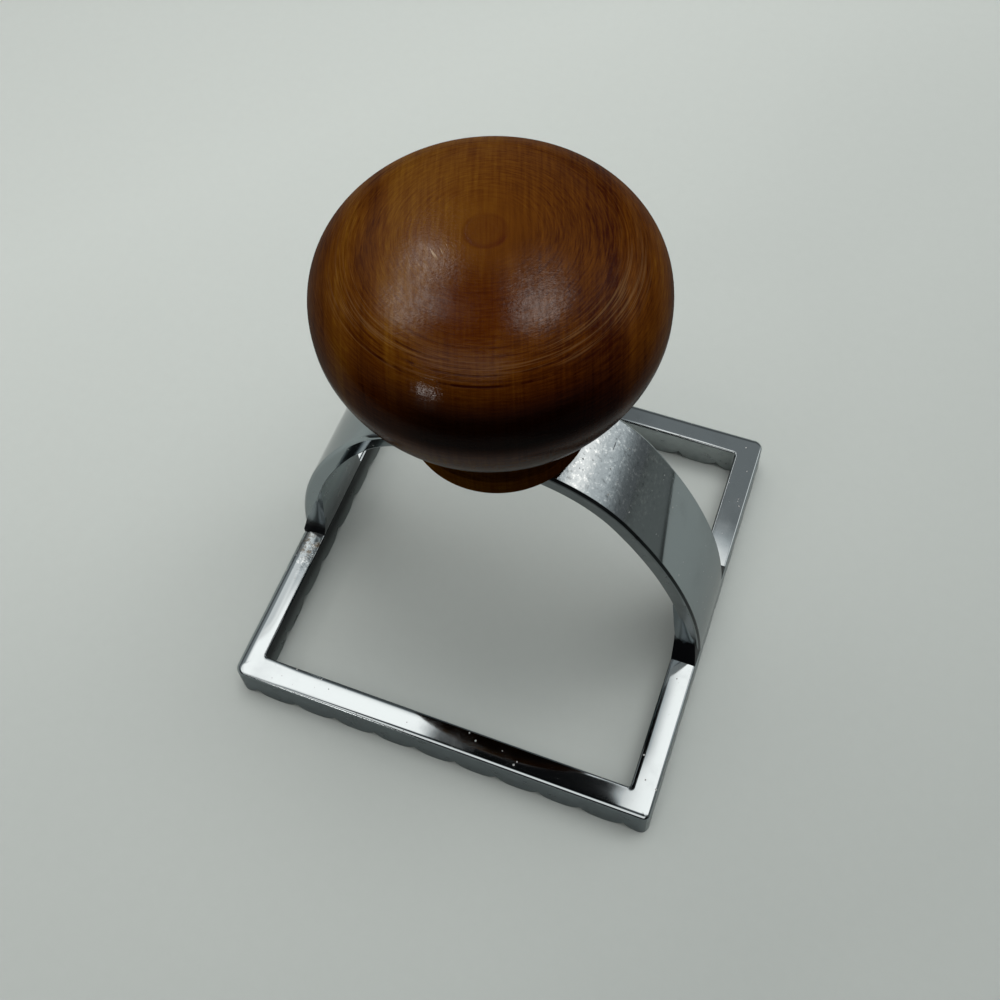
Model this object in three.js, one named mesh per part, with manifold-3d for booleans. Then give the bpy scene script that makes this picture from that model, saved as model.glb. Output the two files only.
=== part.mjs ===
// A square hand stamp for filled pasta: a cutter frame with a scalloped lower edge, a bent
// strap arch brazed onto two of its rails, and a turned wooden knob screwed to the arch.
// Millimetres, +Z up. The origin lies on the table under the middle of the frame.
// X runs along the front rail, and the arch spans from the left rail to the right one.

import * as THREE from 'three';
import { mergeVertices } from 'three/addons/utils/BufferGeometryUtils.js';
import Module from 'manifold-3d';

const wasm = await Module();
wasm.setup();

// Cutter frame
const frameSide = 65; // across the outer walls, at the top face
const frameHeight = 6.7;
const railWidth = 3.8; // top face of one rail
const outerSpread = 0.4; // how far each outer wall leans out at the table
const openingSpread = 0.5; // how far each inner wall leans out at the table
const frameCornerRadius = 1.6;
const openingCornerRadius = 0.4;
const topEdgeRadius = 0.5; // rounded outer edge of the top face

// Scalloped cutting edge
const lobePitch = 6.5;
const lobeDepth = 1.8; // table to the cusp between two lobes
const lobeLand = 0.8; // flat at the bottom of each lobe
const cornerBlock = 3; // least length left whole at each end of a rail

// Strap arch
const strapWidth = 12.7;
const strapThickness = 2.3;
const strapEdgeBreak = 0.6; // chamfer along both edges of the strap
const seatHeight = 46.5; // table to the flat seat on top of the arch
const seatHalf = 3.6; // half the length of that flat
const shoulderRadius = 20; // outer radius of the bend beside the seat
const legLean = 6; // degrees by which a leg leans inward at its foot

// Brazed feet
const brazeRise = 14; // height of the braze up the inside of a leg
const coveRise = 9; // height of its coves up the two edges of the strap
const coveReach = 2.3; // length of each cove along the rail
const brazeMargin = 0.05; // rail left bare between the braze and the opening
const brazeGap = 0.05;

// Wooden knob
const knobHeight = 33.5; // seat to the top of the dome
const bulbRadius = 19.4;
const domeRise = 11.1; // widest ring to the top of the dome
const domePower = 2.7; // above 2, so the dome is flatter than a sphere
const bellyDrop = 20; // depth at which the belly's curve would close
const bellyPower = 1.6; // below 2, so the belly is leaner than a sphere
const neckRadius = 9.8;
const footRadius = 11.5;
const footHeight = 3.2;
const footEdgeRadius = 0.7;

// Wood screw, driven up through the arch into the knob
const screwRadius = 2;
const screwDepth = 16; // length in the wood
const screwPoint = 3; // length of its tapered end
const screwHeadRadius = 3.4;
const screwHeadHeight = 2.3;
const screwHeadRim = 0.8; // straight part of the head
const slotWidth = 1;
const slotDepth = 1.1;
const screwClearance = 0.2;

// How finely round shapes are divided
const latheSides = 56;
const arcSteps = 10;
const smallArcSteps = 4;
const holeSides = 32;
const cutMargin = 2; // how far a cutter reaches past what it cuts

const halfSide = frameSide / 2;
const openingSide = frameSide - 2 * railWidth;
const strapUnderside = seatHeight - strapThickness;

const chrome = () => new THREE.MeshStandardMaterial({ color: 0xc9cdd2, roughness: 0.12, metalness: 1 });
const brazeMetal = () => new THREE.MeshStandardMaterial({ color: 0x8d8a83, roughness: 0.4, metalness: 0.9 });
const steel = () => new THREE.MeshStandardMaterial({ color: 0x9a9ca0, roughness: 0.35, metalness: 1 });
const stainedWood = () => new THREE.MeshStandardMaterial({ color: 0x6b2f14, roughness: 0.35, metalness: 0 });

// Booleans on closed geometry

function toSolid(geometry) {
  const bare = geometry.clone();
  bare.deleteAttribute('normal');
  bare.deleteAttribute('uv');
  const merged = mergeVertices(bare);
  const index = merged.index.array;
  const triangles = [];
  for (let i = 0; i < index.length; i += 3) {
    const [a, b, c] = [index[i], index[i + 1], index[i + 2]];
    if (a !== b && b !== c && c !== a) {
      triangles.push(a, b, c);
    }
  }
  return new wasm.Manifold(new wasm.Mesh({
    numProp: 3,
    vertProperties: Float32Array.from(merged.attributes.position.array),
    triVerts: Uint32Array.from(triangles),
  }));
}

function toGeometry(solid) {
  const mesh = solid.getMesh();
  const geometry = new THREE.BufferGeometry();
  geometry.setAttribute('position', new THREE.Float32BufferAttribute(mesh.vertProperties, 3));
  geometry.setIndex(Array.from(mesh.triVerts));
  geometry.computeVertexNormals();
  return geometry;
}

function cut(geometry, cutters) {
  return toGeometry(cutters.reduce((solid, cutter) => solid.subtract(toSolid(cutter)), toSolid(geometry)));
}

function named(name, geometry, material) {
  const mesh = new THREE.Mesh(geometry, material);
  mesh.name = name;
  return mesh;
}

// A shape whose arcs are already divided, without doubled points where two arcs meet
function plainShape(outline, steps) {
  const same = 1e-6;
  const points = outline.getPoints(steps);
  const kept = points.filter((point, i) => point.distanceTo(points.at(i - 1)) > same);
  return new THREE.Shape(kept);
}

// Extrudes an outline drawn in X and Z along Y, centred on the XZ plane
function extrudeAcross(shape, width, edgeBreak = 0) {
  const geometry = new THREE.ExtrudeGeometry(shape, {
    depth: width - 2 * edgeBreak,
    bevelEnabled: edgeBreak > 0,
    bevelThickness: edgeBreak,
    bevelSize: edgeBreak,
    bevelOffset: -edgeBreak,
    bevelSegments: 1,
  });
  geometry.translate(0, 0, edgeBreak - width / 2);
  return geometry.rotateX(Math.PI / 2);
}

// Cutter frame

function roundedSquare(side, radius) {
  const reach = side / 2 - radius;
  const outline = new THREE.Path();
  const quarter = Math.PI / 2;
  outline.absarc(reach, reach, radius, 0, quarter, false);
  outline.absarc(-reach, reach, radius, quarter, 2 * quarter, false);
  outline.absarc(-reach, -reach, radius, 2 * quarter, 3 * quarter, false);
  outline.absarc(reach, -reach, radius, 3 * quarter, 4 * quarter, false);
  return plainShape(outline, smallArcSteps);
}

// Leans the four walls outward toward the table
function spreadWalls(geometry, spread) {
  const position = geometry.attributes.position;
  for (let i = 0; i < position.count; i += 1) {
    const shift = spread * (1 - position.getZ(i) / frameHeight);
    position.setX(i, position.getX(i) + Math.sign(position.getX(i)) * shift);
    position.setY(i, position.getY(i) + Math.sign(position.getY(i)) * shift);
  }
  return geometry;
}

// Everything below the lower edge of one rail: round lobes on the table, cusps between them
function scallopShape(lobes) {
  const flank = (lobePitch - lobeLand) / 2;
  const radius = (flank ** 2 + lobeDepth ** 2) / (2 * lobeDepth);
  const sweep = Math.asin(flank / radius);
  const bottom = -Math.PI / 2;
  const end = halfSide + outerSpread + cutMargin;
  const outline = new THREE.Path();
  outline.moveTo(-end, -cutMargin);
  outline.lineTo(-end, 0);
  for (let i = 0; i <= lobes; i += 1) {
    const cusp = (i - lobes / 2) * lobePitch;
    outline.absarc(cusp - flank, radius, radius, bottom, bottom + sweep, false);
    outline.absarc(cusp + flank, radius, radius, bottom - sweep, bottom, false);
  }
  outline.lineTo(end, 0);
  outline.lineTo(end, -cutMargin);
  return plainShape(outline, smallArcSteps);
}

function scallopCutter(lobes, turns) {
  const reach = railWidth + outerSpread + openingSpread + 2 * cutMargin;
  const cutter = extrudeAcross(scallopShape(lobes), reach);
  cutter.translate(0, -(halfSide - railWidth / 2), 0);
  return cutter.rotateZ(turns * Math.PI / 2);
}

function cutterFrame() {
  const block = new THREE.ExtrudeGeometry(roundedSquare(frameSide, frameCornerRadius), {
    depth: frameHeight,
    bevelThickness: topEdgeRadius,
    bevelSize: topEdgeRadius,
    bevelOffset: -topEdgeRadius,
    bevelSegments: smallArcSteps,
  });
  block.translate(0, 0, -topEdgeRadius);
  const opening = new THREE.ExtrudeGeometry(roundedSquare(openingSide, openingCornerRadius), {
    depth: frameHeight + 2 * cutMargin,
    bevelEnabled: false,
  });
  opening.translate(0, 0, -cutMargin);
  const fullLobes = Math.floor((frameSide - 2 * cornerBlock) / lobePitch);
  const lobesByRail = [fullLobes, fullLobes, fullLobes - 1, fullLobes]; // front, right, back, left
  return cut(spreadWalls(block, outerSpread), [
    spreadWalls(opening, openingSpread),
    ...lobesByRail.map(scallopCutter),
  ]);
}

// Strap arch: a flat seat, a bend on each side of it, and two long curved legs

const lean = THREE.MathUtils.degToRad(legLean);
const shoulderZ = seatHeight - shoulderRadius;
const inset = seatHalf - halfSide;
const climb = shoulderZ - frameHeight;
const legRadius = (shoulderRadius ** 2 - inset ** 2 - climb ** 2)
  / (2 * (inset * Math.cos(lean) + climb * Math.sin(lean) + shoulderRadius));
const legX = halfSide - legRadius * Math.cos(lean);
const legZ = frameHeight - legRadius * Math.sin(lean);
const shoulderTurn = Math.atan2(shoulderZ - legZ, seatHalf - legX);

// Angle on a leg's circle at a given height, and the point there
const legAngle = (radius, height) => Math.asin((height - legZ) / radius);
const legPointX = (radius, height) => legX + radius * Math.cos(legAngle(radius, height));

function handleArch() {
  const inner = strapThickness;
  const innerLean = legAngle(legRadius - inner, frameHeight);
  const straight = Math.PI;
  const top = Math.PI / 2;
  const outline = new THREE.Path();
  outline.absarc(legX, legZ, legRadius, lean, shoulderTurn, false);
  outline.absarc(seatHalf, shoulderZ, shoulderRadius, shoulderTurn, top, false);
  outline.absarc(-seatHalf, shoulderZ, shoulderRadius, top, straight - shoulderTurn, false);
  outline.absarc(-legX, legZ, legRadius, straight - shoulderTurn, straight - lean, false);
  outline.absarc(-legX, legZ, legRadius - inner, straight - innerLean, straight - shoulderTurn, true);
  outline.absarc(-seatHalf, shoulderZ, shoulderRadius - inner, straight - shoulderTurn, top, true);
  outline.absarc(seatHalf, shoulderZ, shoulderRadius - inner, top, shoulderTurn, true);
  outline.absarc(legX, legZ, legRadius - inner, shoulderTurn, innerLean, true);
  const strap = extrudeAcross(plainShape(outline, arcSteps), strapWidth, strapEdgeBreak);
  const holeRadius = screwRadius + screwClearance;
  const hole = new THREE.CylinderGeometry(holeRadius, holeRadius, strapThickness + 2 * cutMargin, holeSides);
  hole.rotateX(Math.PI / 2);
  hole.translate(0, 0, seatHeight - strapThickness / 2);
  return cut(strap, [hole]);
}

// Braze around a foot: a tapered wedge inside the leg and a cove along each edge of the strap

function footOutline() {
  const crest = frameHeight + brazeRise;
  const outerRadius = legRadius - topEdgeRadius;
  const outline = new THREE.Path();
  outline.absarc(legX, legZ, outerRadius, legAngle(outerRadius, frameHeight), legAngle(outerRadius, crest), false);
  outline.lineTo(legPointX(legRadius - strapThickness - brazeGap, crest), crest);
  outline.lineTo(openingSide / 2 + brazeMargin, frameHeight);
  return plainShape(outline, smallArcSteps);
}

// Seen along the rail: coves at both edges of the strap, and the wedge between them
function coveOutline() {
  const half = strapWidth / 2;
  const crest = frameHeight + brazeRise;
  const outline = new THREE.Path();
  outline.moveTo(half + coveReach, frameHeight);
  outline.quadraticCurveTo(half, frameHeight, half, frameHeight + coveRise);
  outline.lineTo(half, crest);
  outline.lineTo(-half, crest);
  outline.lineTo(-half, frameHeight + coveRise);
  outline.quadraticCurveTo(-half, frameHeight, -half - coveReach, frameHeight);
  return plainShape(outline, smallArcSteps);
}

function strapRoom() {
  const bottom = frameHeight - cutMargin;
  const top = frameHeight + brazeRise + cutMargin;
  const inner = legRadius - strapThickness - brazeGap;
  const outer = legRadius + cutMargin;
  const outline = new THREE.Path();
  outline.absarc(legX, legZ, outer, legAngle(outer, bottom), legAngle(outer, top), false);
  outline.absarc(legX, legZ, inner, legAngle(inner, top), legAngle(inner, bottom), true);
  return plainShape(outline, smallArcSteps);
}

function brazedFoot() {
  const block = extrudeAcross(footOutline(), strapWidth + 2 * coveReach);
  const coves = extrudeAcross(coveOutline(), frameSide).rotateZ(Math.PI / 2);
  const room = extrudeAcross(strapRoom(), strapWidth + 2 * brazeGap);
  return toGeometry(toSolid(block).intersect(toSolid(coves)).subtract(toSolid(room)));
}

// Wooden knob: foot, hollowed neck, lean belly and flat dome, turned about Z

function superellipseArc(radius, rise, power, from, to) {
  const points = [];
  for (let i = 0; i <= arcSteps; i += 1) {
    const angle = THREE.MathUtils.lerp(from, to, i / arcSteps);
    const across = Math.max(Math.cos(angle), 0) ** (2 / power);
    const up = Math.sign(angle) * Math.abs(Math.sin(angle)) ** (2 / power);
    points.push(new THREE.Vector2(radius * across, rise * up));
  }
  return points;
}

function woodKnob() {
  const bulbZ = knobHeight - domeRise;
  const lift = new THREE.Vector2(0, bulbZ);
  const bellyEnd = -Math.acos((neckRadius / bulbRadius) ** (bellyPower / 2));
  const belly = superellipseArc(bulbRadius, bellyDrop, bellyPower, bellyEnd, 0);
  const dome = superellipseArc(bulbRadius, domeRise, domePower, 0, Math.PI / 2).slice(1);
  const bulb = [...belly, ...dome].map((point) => point.add(lift));
  const foot = new THREE.Path();
  const pilotRadius = screwRadius + screwClearance;
  const pilotDepth = screwDepth + screwClearance;
  foot.moveTo(0, pilotDepth);
  foot.lineTo(pilotRadius, pilotDepth);
  foot.lineTo(pilotRadius, 0);
  foot.absarc(footRadius - footEdgeRadius, footEdgeRadius, footEdgeRadius, -Math.PI / 2, 0, false);
  foot.lineTo(footRadius, footHeight);
  foot.quadraticCurveTo(neckRadius, footHeight, neckRadius, bulb[0].y);
  const profile = [...foot.getPoints(smallArcSteps), ...bulb.slice(1)];
  return new THREE.LatheGeometry(profile, latheSides).rotateX(Math.PI / 2);
}

// Wood screw: slotted round head under the arch, shank through it, point in the knob

function woodScrew() {
  const outline = new THREE.Path();
  outline.moveTo(0, -screwHeadHeight);
  outline.quadraticCurveTo(screwHeadRadius, -screwHeadHeight, screwHeadRadius, -screwHeadRim);
  outline.lineTo(screwHeadRadius, 0);
  outline.lineTo(screwRadius, 0);
  outline.lineTo(screwRadius, strapThickness + screwDepth - screwPoint);
  outline.lineTo(0, strapThickness + screwDepth);
  const body = new THREE.LatheGeometry(outline.getPoints(smallArcSteps), holeSides).rotateX(Math.PI / 2);
  const slot = new THREE.BoxGeometry(slotWidth, 2 * screwHeadRadius + cutMargin, 2 * slotDepth);
  slot.translate(0, 0, -screwHeadHeight);
  return cut(body, [slot]);
}

const stamp = new THREE.Group();
stamp.add(named('cutter_frame', cutterFrame(), chrome()));
stamp.add(named('handle_arch', handleArch(), chrome()));

const rightBraze = named('right_foot_braze', brazedFoot(), brazeMetal());
const leftBraze = named('left_foot_braze', brazedFoot(), brazeMetal());
leftBraze.rotation.z = Math.PI;
stamp.add(rightBraze, leftBraze);

const knob = named('wood_knob', woodKnob(), stainedWood());
knob.position.z = seatHeight;
const screw = named('knob_screw', woodScrew(), steel());
screw.position.z = strapUnderside;
stamp.add(knob, screw);

export default stamp;
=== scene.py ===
from math import acos, asin, atan2, cos, hypot, pi, radians, sin, sqrt

import bmesh
import bpy
from mathutils import Matrix, Vector, noise


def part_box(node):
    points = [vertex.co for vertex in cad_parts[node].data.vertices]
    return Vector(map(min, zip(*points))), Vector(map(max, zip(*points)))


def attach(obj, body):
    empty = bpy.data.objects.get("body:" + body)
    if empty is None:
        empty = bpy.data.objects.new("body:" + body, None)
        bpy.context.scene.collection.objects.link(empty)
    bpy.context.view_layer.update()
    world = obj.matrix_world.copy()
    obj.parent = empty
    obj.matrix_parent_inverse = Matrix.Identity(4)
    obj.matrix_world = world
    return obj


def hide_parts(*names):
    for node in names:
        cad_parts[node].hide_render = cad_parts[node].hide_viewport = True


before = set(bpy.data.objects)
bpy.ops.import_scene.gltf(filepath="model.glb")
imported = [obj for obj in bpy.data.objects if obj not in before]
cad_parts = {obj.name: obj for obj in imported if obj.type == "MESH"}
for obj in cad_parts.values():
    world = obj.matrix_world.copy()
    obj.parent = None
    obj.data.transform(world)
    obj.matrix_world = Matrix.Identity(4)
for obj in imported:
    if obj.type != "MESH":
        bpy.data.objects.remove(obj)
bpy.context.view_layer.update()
mm = 0.001
quarterTurn = pi / 2
print("frame loaded:", sorted(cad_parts))


# What a user would change about one piece; its values read as attributes too
class Look(dict):
    __getattr__ = dict.__getitem__


# Small helpers for outlines

# From a to b as t goes from 0 to 1, also where t is a shader's field
def lerp(a, b, t):
    return a + (b - a) * t


# 0 at 0 and 1 at 1, level at both ends
def smooth(t):
    t = max(0.0, min(1.0, t))
    return t * t * (3 - 2 * t)


# Even steps from 0 to 1
def steps(count):
    return [i / count for i in range(count + 1)]


def arcPoints(centre, radius, start, end, count):
    angles = [lerp(start, end, t) for t in steps(count)]
    return [(centre[0] + radius * cos(a), centre[1] + radius * sin(a)) for a in angles]


# A curve from a to b that is drawn toward a corner
def curvePoints(a, corner, b, count):
    def along(t, p, q, r):
        return lerp(lerp(p, q, t), lerp(q, r, t), t)

    return [tuple(along(t, *axis) for axis in zip(a, corner, b)) for t in steps(count)]


# Small helpers for meshes

def newObject(name, data):
    made = bpy.data.objects.new(name, data)
    bpy.context.scene.collection.objects.link(made)
    return made


def newPiece(name, verts, faces):
    mesh = bpy.data.meshes.new(name)
    mesh.from_pydata([Vector(v) * mm for v in verts], [], faces)
    return newObject(name, mesh)


def tidyMesh(piece, sharpAngle=50, weld=1e-4):
    work = bmesh.new()
    work.from_mesh(piece.data)
    bmesh.ops.remove_doubles(work, verts=work.verts, dist=weld * mm)
    bmesh.ops.dissolve_degenerate(work, edges=work.edges, dist=weld * mm)
    bmesh.ops.recalc_face_normals(work, faces=work.faces)
    work.to_mesh(piece.data)
    work.free()
    piece.data.shade_smooth()
    piece.data.set_sharp_from_angle(angle=radians(sharpAngle))


# Gives another material to the faces that a test picks by their middle and normal
def paintFaces(piece, material, test):
    piece.data.materials.append(material)
    index = len(piece.data.materials) - 1
    for face in piece.data.polygons:
        if test(face.center / mm, face.normal):
            face.material_index = index


# A tidied piece whose flat faces are shaded flat
def plated(piece):
    tidyMesh(piece)
    weighted = piece.modifiers.new("flatFacesFirst", "WEIGHTED_NORMAL")
    weighted.keep_sharp = True
    return piece


# Joins other solids to a piece, or cuts them out of it, and removes them
def combine(piece, others, operation):
    for other in others:
        step = piece.modifiers.new("combine", "BOOLEAN")
        step.operation = operation
        step.solver = "EXACT"
        step.object = other
    bpy.context.view_layer.update()
    shaped = piece.evaluated_get(bpy.context.evaluated_depsgraph_get())
    mesh = bpy.data.meshes.new_from_object(shaped)
    piece.modifiers.clear()
    piece.data = mesh
    for other in others:
        bpy.data.objects.remove(other)


# Skins closed rings of points, and joins the last to the first when loop is set
def skinRings(name, rings, loop=False):
    count = len(rings[0])
    verts = [p for ring in rings for p in ring]
    faces = []
    for i in range(len(rings) if loop else len(rings) - 1):
        a = i * count
        b = (a + count) % len(verts)
        for j in range(count):
            k = (j + 1) % count
            faces.append((a + j, b + j, b + k, a + k))
    if not loop:
        faces.append(tuple(reversed(range(count))))
        faces.append(tuple(range(len(verts) - count, len(verts))))
    return newPiece(name, verts, faces)


# Turns a profile of (radius, height) points about the Z axis; tidyMesh welds its ends
def turnProfile(name, profile, sides):
    angles = [2 * pi * t for t in steps(sides)[:-1]]
    return skinRings(name, [[(r * cos(a), r * sin(a), z) for a in angles] for r, z in profile])


# Small helpers for shader nodes

# A value in a node tree: sums with it add the nodes that work them out
class Field:
    def __init__(self, socket):
        self.socket = socket
        self.tree = socket.id_data

    def calc(self, operation, other=0.0):
        return addField(self.tree, "Math", 0, {0: self, 1: other}, operation=operation)

    def __add__(self, other):
        return self.calc("ADD", other)

    def __sub__(self, other):
        return self.calc("SUBTRACT", other)

    def __rsub__(self, other):
        return self * -1 + other

    def __mul__(self, other):
        return self.calc("MULTIPLY", other)

    def __truediv__(self, other):
        return self.calc("DIVIDE", other)

    __radd__ = __add__
    __rmul__ = __mul__


# Links a node's inputs to fields, or sets them to plain values
def setInputs(node, values):
    for key, value in values.items():
        socket = node.inputs[key]
        if isinstance(value, Field):
            node.id_data.links.new(value.socket, socket)
        elif socket.type == "RGBA":
            socket.default_value = (*value, 1)
        else:
            socket.default_value = value


def addNode(tree, kind, inputs, **settings):
    made = tree.nodes.new("ShaderNode" + kind)
    for key, value in settings.items():
        setattr(made, key, value)
    setInputs(made, inputs)
    return made


def addField(tree, kind, output, inputs, **settings):
    return Field(addNode(tree, kind, inputs, **settings).outputs[output])


def vectorCalc(a, operation, b, output=0):
    return addField(a.tree, "VectorMath", output, {0: a, 1: b}, operation=operation)


def stretched(vector, factors):
    return vectorCalc(vector, "MULTIPLY", factors)


def alongWay(vector, direction):
    return vectorCalc(vector, "DOT_PRODUCT", direction, "Value")


def turnedAboutZ(vector, degrees):
    inputs = {"Vector": vector, "Angle": radians(degrees)}
    return addField(vector.tree, "VectorRotate", 0, inputs, rotation_type="Z_AXIS")


# The three parts of a vector (XYZ) or a colour (Color)
def splitUp(field, kind="XYZ"):
    return [Field(socket) for socket in addNode(field.tree, "Separate" + kind, {0: field}).outputs]


# 0 before a span and 1 after it, smooth between; a span may run downward, and is measured from a base
def ease(value, span, base=0.0):
    inputs = {"Value": value, "From Min": base + span[0], "From Max": base + span[1]}
    return addField(value.tree, "MapRange", "Result", inputs, interpolation_type="SMOOTHSTEP")


# 1 where both spans are full
def band(value, spans, base=0.0):
    return ease(value, spans[0], base) * ease(value, spans[1], base)


# Light as it is where the mask is 0, and tone times that where it is 1
def dimmed(light, mask, tone):
    return light * lerp(1, tone, mask)


# Colour a where amount is 0 and b where it is 1
def blendColour(amount, a, b, mode="MIX"):
    inputs = {0: amount, 6: a, 7: b}
    return addField(amount.tree, "Mix", 2, inputs, data_type="RGBA", blend_type=mode)


def scaledColour(colour, factor):
    return addField(factor.tree, "VectorMath", 0, {0: colour, "Scale": factor}, operation="SCALE")


def colourRamp(value, stops):
    made = addNode(value.tree, "ValToRGB", {"Fac": value})
    ramp = made.color_ramp
    while len(ramp.elements) < len(stops):
        ramp.elements.new(0.5)
    for element, (place, colour) in zip(ramp.elements, stops):
        element.position = place
        element.color = (*colour, 1)
    return Field(made.outputs["Color"])


def grain(vector, perMm, detail, roughness):
    inputs = {"Vector": vector, "Scale": perMm, "Detail": detail, "Roughness": roughness}
    return addField(vector.tree, "TexNoise", "Fac", inputs)


# A pattern is the grain of a noise, and the span of it that goes from no patch to a full one
def patches(vector, pattern):
    texture, span = pattern
    return ease(grain(vector, *texture), span)


# Scattered round specks: a share of the cells of a cell pattern, each with a spot at its middle
def specks(point, share, perMm, size):
    cells = addNode(point.tree, "TexVoronoi", {"Vector": point, "Scale": perMm, "Randomness": 1.0})
    pick, reach, _ = splitUp(Field(cells.outputs["Color"]), "Color")
    spot = Field(cells.outputs["Distance"]).calc("LESS_THAN", reach * size)
    return pick.calc("LESS_THAN", share) * spot


# 1 within the full share of a reach from a place, fading to 0 at the reach, in millimetres
def nearPoint(point, place, reach, full=0.25):
    return ease(vectorCalc(point, "DISTANCE", place, "Value"), (reach, reach * full))


# Surface normal bent by a height in millimetres
def bumped(height):
    inputs = {"Height": height * mm, "Strength": 1.0, "Distance": 1.0}
    return addField(height.tree, "Bump", "Normal", inputs)


# Makes a material whose inputs a function works out from the place of a point, in millimetres
def newMaterial(name, build, *looks):
    material = bpy.data.materials.new(name)
    material.use_nodes = True
    tree = material.node_tree
    where = addField(tree, "TexCoord", "Object", {})
    setInputs(tree.nodes["Principled BSDF"], build(stretched(where, (1 / mm,) * 3), *looks))
    return material


# Chrome plating; a grain is bumps per mm, detail and roughness

chromeLook = Look(
    tint=(0.355, 0.395, 0.41),
    roughness=0.05,
    grazing=0.62,  # share of the mirror image that is left at a flat angle
    smudges=((0.12, 4, 0.6), (0.5, 0.75)),
    smudgeTint=(0.32, 0.355, 0.37),
    smudgeRough=0.06,  # extra roughness
    stains=((1.1, 4, 0.65), (0.42, 0.6)),
    stainTint=(0.14, 0.118, 0.088),
    stainRough=0.3,
    strokes=((1.0, 1, 0.5), (0.7, 0.76)),
    strokeStretch=(2.6, 0.3, 2.6),
    strokeTint=(0.06, 0.065, 0.07),
    sand=0.7,  # coarseness of the flecks, beside that of the pits
    sandGrain=(5, 0.72),
    # painted glints as lighter flecks, then painted shade in the pits
    fleckSpan=(0.52, 0.68),
    fleckTint=(0.66, 0.70, 0.70),
    pitSpan=(0.44, 0.32),
    pitTint=(0.17, 0.19, 0.195),
    pitGrain=(3, 0.65),
    pitHeight=0.02,  # mm, like the heights below
    dustSizes=((0.9, 0.2), (2.4, 0.34)),  # cells per mm, and the largest speck's share of a cell
    dustTint=(0.42, 0.43, 0.42),
    dustRough=0.6, dustCover=0.8,
    waves=(0.16, 2, 0.4),
    waveHeight=0.006,  # slow polishing waves
    scratches=(1.0, 2, 0.6),
    scratchHeight=0.0004,
)


# pits, stain and strokes are each a place and a reach, or None; pitScale is bumps per mm
def chrome(point, scratchAlong, dust, pits, pitScale, stain, strokes):
    c = chromeLook
    smudge = patches(point, c.smudges)
    colour = blendColour(smudge, c.tint, c.smudgeTint)
    rough = smudge * c.smudgeRough + c.roughness
    if stain:
        blotch = nearPoint(point, *stain) * patches(point, c.stains)
        colour = blendColour(blotch, colour, c.stainTint)
        rough = blotch * c.stainRough + rough
    if strokes:
        line = patches(stretched(point, c.strokeStretch), c.strokes) * nearPoint(point, *strokes)
        colour = blendColour(line, colour, c.strokeTint)
    pitted = nearPoint(point, *pits)
    sand = grain(point, c.sand * pitScale, *c.sandGrain)
    # painted glints and painted shade in the pits, over the pitted place
    colour = blendColour(pitted * ease(sand, c.fleckSpan), colour, c.fleckTint)
    colour = blendColour(pitted * ease(sand, c.pitSpan), colour, c.pitTint)
    large, small = [specks(point, dust, *size) for size in c.dustSizes]
    dirt = large.calc("MAXIMUM", small)
    height = grain(point, *c.waves) * c.waveHeight
    height = grain(stretched(point, scratchAlong), *c.scratches) * c.scratchHeight + height
    height = grain(point, pitScale, *c.pitGrain) * pitted * c.pitHeight + height
    return {
        "Base Color": blendColour(dirt, colour, c.dustTint),
        "Roughness": dirt * c.dustRough + rough,
        "Metallic": 1 - dirt * c.dustCover,
        "Specular Tint": (c.grazing,) * 3,
        "Normal": bumped(height),
    }


dullLook = Look(
    wear=(0.5, 4, 0.6),
    wearTone=(0.65, 1.35),  # how much the tarnish varies
    wearRough=(0.2, 0.4),
    marks=(1.4, 3, 0.6),
    markHeight=0.008,  # mm
)


# Dull plating, whose tint is darkened in places as painted shade; lowTint is its colour lower down, which
# comes in over the heights of lowSpan, in mm
def dullAndShaded(point, tint, grazing=1.0, lowTint=None, lowSpan=None):
    d = dullLook
    wear = grain(point, *d.wear)
    if lowTint:
        tint = blendColour(ease(splitUp(point)[2], lowSpan), tint, lowTint)
    return {
        "Base Color": scaledColour(tint, lerp(*d.wearTone, wear)),
        "Roughness": lerp(*d.wearRough, wear),
        "Metallic": 1.0,
        "Specular Tint": (grazing,) * 3,
        "Normal": bumped(grain(point, *d.marks) * d.markHeight),
    }


# Cutter frame: one closed skin that follows the four rails and their corners

frameShape = Look(
    railWidth=3.8,  # mm, top face of one rail
    outerSpread=0.4,  # outer walls lean out by this at the table
    openingSpread=0.5,  # inner walls lean out by this at the table
    outerCorner=(0.9, 1.6, 1.6, 1.8),  # front right, back right, back left, front left
    innerCorner=0.4,
    # front, right, back, left: how far the worn edge reaches in, at each rail's start and end
    outerTopEdge=((0.3, 0.8), (0.35, 0.35), (0.9, 0.9), (1.5, 1.5)),
    outerTopDrop=(0.3, 0.35, 0.9, 1.5),  # and down
    innerTopEdge=0.35,
    crown=(0.028, 0.012, 0.04, 0.12),  # same order: how round the polished top is
    crownPlace=(0.5, 0.35, 0.6, 1.0),  # its highest line, from the outer edge to the inner one
    crownFade=6.0,  # mm from a corner over which the top turns flat
    lobePitch=6.5, lobeDepth=1.8, lobeLand=0.8, cornerBlock=3.0,
    cuttingEdge=0.12,  # small chamfer along the scallops
    flankSteps=6, cornerSteps=8, edgeSteps=8, topSteps=8,
)
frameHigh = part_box("cutter_frame")[1]
frameHeight = frameHigh.z / mm
halfSide = frameHigh.x / mm - frameShape.outerSpread
halfOpening = halfSide - frameShape.railWidth
lobeFlank = (frameShape.lobePitch - frameShape.lobeLand) / 2


def cusps(lobes):
    return [(i - lobes / 2) * frameShape.lobePitch for i in range(lobes + 1)]


def scallopHeight(along, lobes):
    depth = frameShape.lobeDepth
    radius = (lobeFlank ** 2 + depth ** 2) / (2 * depth)
    gap = min(abs(along - cusp) for cusp in cusps(lobes))
    if gap >= lobeFlank:
        return 0.0
    return radius - sqrt(radius ** 2 - (lobeFlank - gap) ** 2)


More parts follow.
